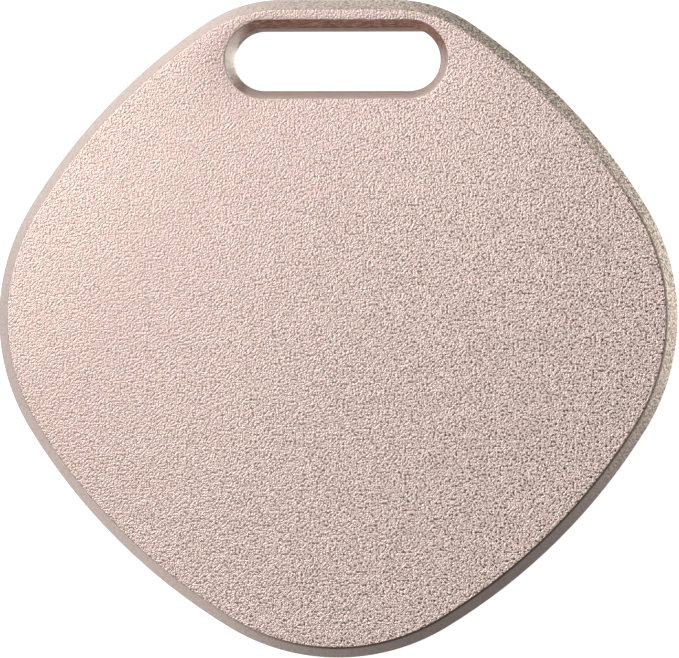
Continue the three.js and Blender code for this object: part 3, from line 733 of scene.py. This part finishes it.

# ---- Circuit board ----
# Glass-epoxy board under green solder mask. Copper tracks show as raised lines, gold test pads stand in
# rows, and small holes join its two sides; their dark dots are painted shade.

solder_mask, tree, shader = new_material("solder_mask")
where = millimetres(tree)
tracks = add_node(tree, "ShaderNodeTexBrick", offset=0.37, squash=0.6, squash_frequency=3)
for key, number in (("Scale", 1), ("Mortar Size", 0.09), ("Mortar Smooth", 0.2), ("Brick Width", 2.3)):
    tracks.inputs[key].default_value = number
tracks.inputs["Row Height"].default_value = 0.85
for key, level in (("Color1", 0), ("Color2", 0), ("Mortar", 1)):
    tracks.inputs[key].default_value = (level, level, level, 1)
tree.links.new(where, tracks.inputs["Vector"])
track = tracks.outputs["Fac"]
pads = add_node(tree, "ShaderNodeTexVoronoi")
pads.inputs["Scale"].default_value = 0.42
pads.inputs["Randomness"].default_value = 0.75
tree.links.new(where, pads.inputs["Vector"])
pad = spread(tree, pads.outputs["Distance"], 1, 0, 0.13, 0.15)
# The holes' near-black dots are painted shade inside them.
hole = spread(tree, pads.outputs["Distance"], 1, 0, 0.05, 0.06)
weave = noise(tree, millimetres(tree, (1, 1, 1), 0.4), 6, 2)
woven = sum_of(tree, track, weave, 0.35)
mask_tint = colour_steps(tree, woven, (0.1, (0.006, 0.055, 0.025)), (1.0, (0.02, 0.14, 0.06)))
gilded = blend(tree, pad, mask_tint, (0.8, 0.6, 0.26))
tree.links.new(blend(tree, hole, gilded, (0.02, 0.02, 0.02)), shader.inputs["Base Color"])
tree.links.new(pad, shader.inputs["Metallic"])
tree.links.new(spread(tree, weave, 0.3, 0.45, 0.3, 0.7), shader.inputs["Roughness"])
raise_surface(tree, shader, sum_of(tree, sum_of(tree, track, pad, 0.7), hole, -2), 0.03)
finished_copy("circuit_board", "frame", solder_mask, 0.03)

# ---- Screws ----
# Four small cross-head screws in nickel-plated steel hold the board on the frame's bosses.

for number in (1, 2, 3, 4):
    low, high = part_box(f"board_screw_{number}")
    axis = ((low[0] + high[0]) / 2, (low[1] + high[1]) / 2)
    nickel = ringed_steel(f"nickel_{number}", axis, (0.5, 0.49, 0.47), (0.64, 0.63, 0.6), 0.28)
    finished_copy(f"board_screw_{number}", "frame", nickel, 0.03)

# ---- Radio: shield, chip and crystals ----
# A tinned can with vent holes covers the radio chip, and two crystals in nickel-silver cases stand beside
# it. All are soldered to the board.

tinplate = plated_strip("tinplate", (0.56, 0.56, 0.55), (0.7, 0.7, 0.68), 0.34)
finished_copy("radio_shield", "frame", tinplate, 0.05)
crystal_case = plated_strip("crystal_case", (0.6, 0.57, 0.5), (0.74, 0.7, 0.62), 0.28, (8, 0.4, 8))
finished_copy("main_crystal", "frame", crystal_case, 0.1, 3)
finished_copy("clock_crystal", "frame", crystal_case, 0.12, 3)
chip_black = mottled("chip_epoxy", (0.012, 0.012, 0.013), (0.028, 0.028, 0.03), 8, 0.008, 0.5)[0]
finished_copy("radio_chip", "frame", chip_black, 0.06)
finished_copy("antenna_coil", "frame", chip_black, 0.05)
finished_copy("sounder_coil", "frame", chip_black, 0.05)

# ---- Antenna chip and capacitors ----
# Blocks of fired ceramic, each with a tinned cap at both ends where it is soldered.


# Ceramic between two tinned ends, for a block that lies along x.
def capped_ceramic(name, node, low, high, cap):
    material, tree, shader = new_material(name)
    box_low, box_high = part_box(node)
    where = add_node(tree, "ShaderNodeTexCoord")
    along = add_node(tree, "ShaderNodeSeparateXYZ")
    tree.links.new(where.outputs["Object"], along.inputs["Vector"])
    offset = add_node(tree, "ShaderNodeMath", operation="SUBTRACT")
    offset.inputs[1].default_value = (box_low[0] + box_high[0]) / 2
    tree.links.new(along.outputs["X"], offset.inputs[0])
    away = add_node(tree, "ShaderNodeMath", operation="ABSOLUTE")
    tree.links.new(offset.outputs["Value"], away.inputs[0])
    edge = (box_high[0] - box_low[0]) / 2 - cap * MM
    speckle = noise(tree, millimetres(tree), 7, 3, 0.6)
    wavy = sum_of(tree, away.outputs["Value"], speckle, 0.06 * MM)
    tinned = spread(tree, wavy, 0, 1, edge, edge + 0.04 * MM)
    body = colour_steps(tree, speckle, (0.35, low), (0.65, high))
    tree.links.new(blend(tree, tinned, body, (0.66, 0.65, 0.63)), shader.inputs["Base Color"])
    tree.links.new(tinned, shader.inputs["Metallic"])
    tree.links.new(spread(tree, speckle, 0.35, 0.55, 0.3, 0.7), shader.inputs["Roughness"])
    raise_surface(tree, shader, sum_of(tree, tinned, speckle, 0.3), 0.02)
    return material


for node, low, high, cap in (
    ("antenna_chip", (0.5, 0.5, 0.48), (0.66, 0.66, 0.63), 0.7),
    ("supply_capacitor_1", (0.24, 0.15, 0.09), (0.36, 0.24, 0.15), 0.5),
    ("supply_capacitor_2", (0.24, 0.15, 0.09), (0.36, 0.24, 0.15), 0.5),
    ("filter_capacitor", (0.26, 0.17, 0.1), (0.38, 0.26, 0.16), 0.2),
):
    ceramic = capped_ceramic(node + "_ceramic", node, low, high, cap)
    finished_copy(node, "frame", ceramic, 0.05)

# ---- Switch ----
# A dome switch in a stamped steel frame. Its plunger is a moulded button that the press pad pushes.

finished_copy("switch_body", "frame", tinplate, 0.05)
plunger_nylon = mottled("plunger_nylon", (0.02, 0.02, 0.022), (0.04, 0.04, 0.042), 7, 0.01, 0.45)[0]
finished_copy("switch_plunger", "plunger", plunger_nylon, 0.08)

# ---- Sounder ----
# A brass disc on a ring of foam tape, with a silvered ceramic layer on top that bends it when it is driven.

tape = mottled("foam_tape", (0.02, 0.02, 0.022), (0.05, 0.05, 0.052), 6, 0.03, 0.9)[0]
brass = ringed_steel("sounder_brass", (0, -8.6), (0.62, 0.44, 0.18), (0.74, 0.56, 0.26), 0.3)
silvered = ringed_steel("silvered_ceramic", (0, -8.6), (0.66, 0.64, 0.6), (0.78, 0.77, 0.73), 0.45)
finished_copy("sounder_tape", "frame", tape, 0.05)
finished_copy("sounder_plate", "frame", brass, 0.03)
finished_copy("sounder_ceramic", "frame", silvered, 0.03)
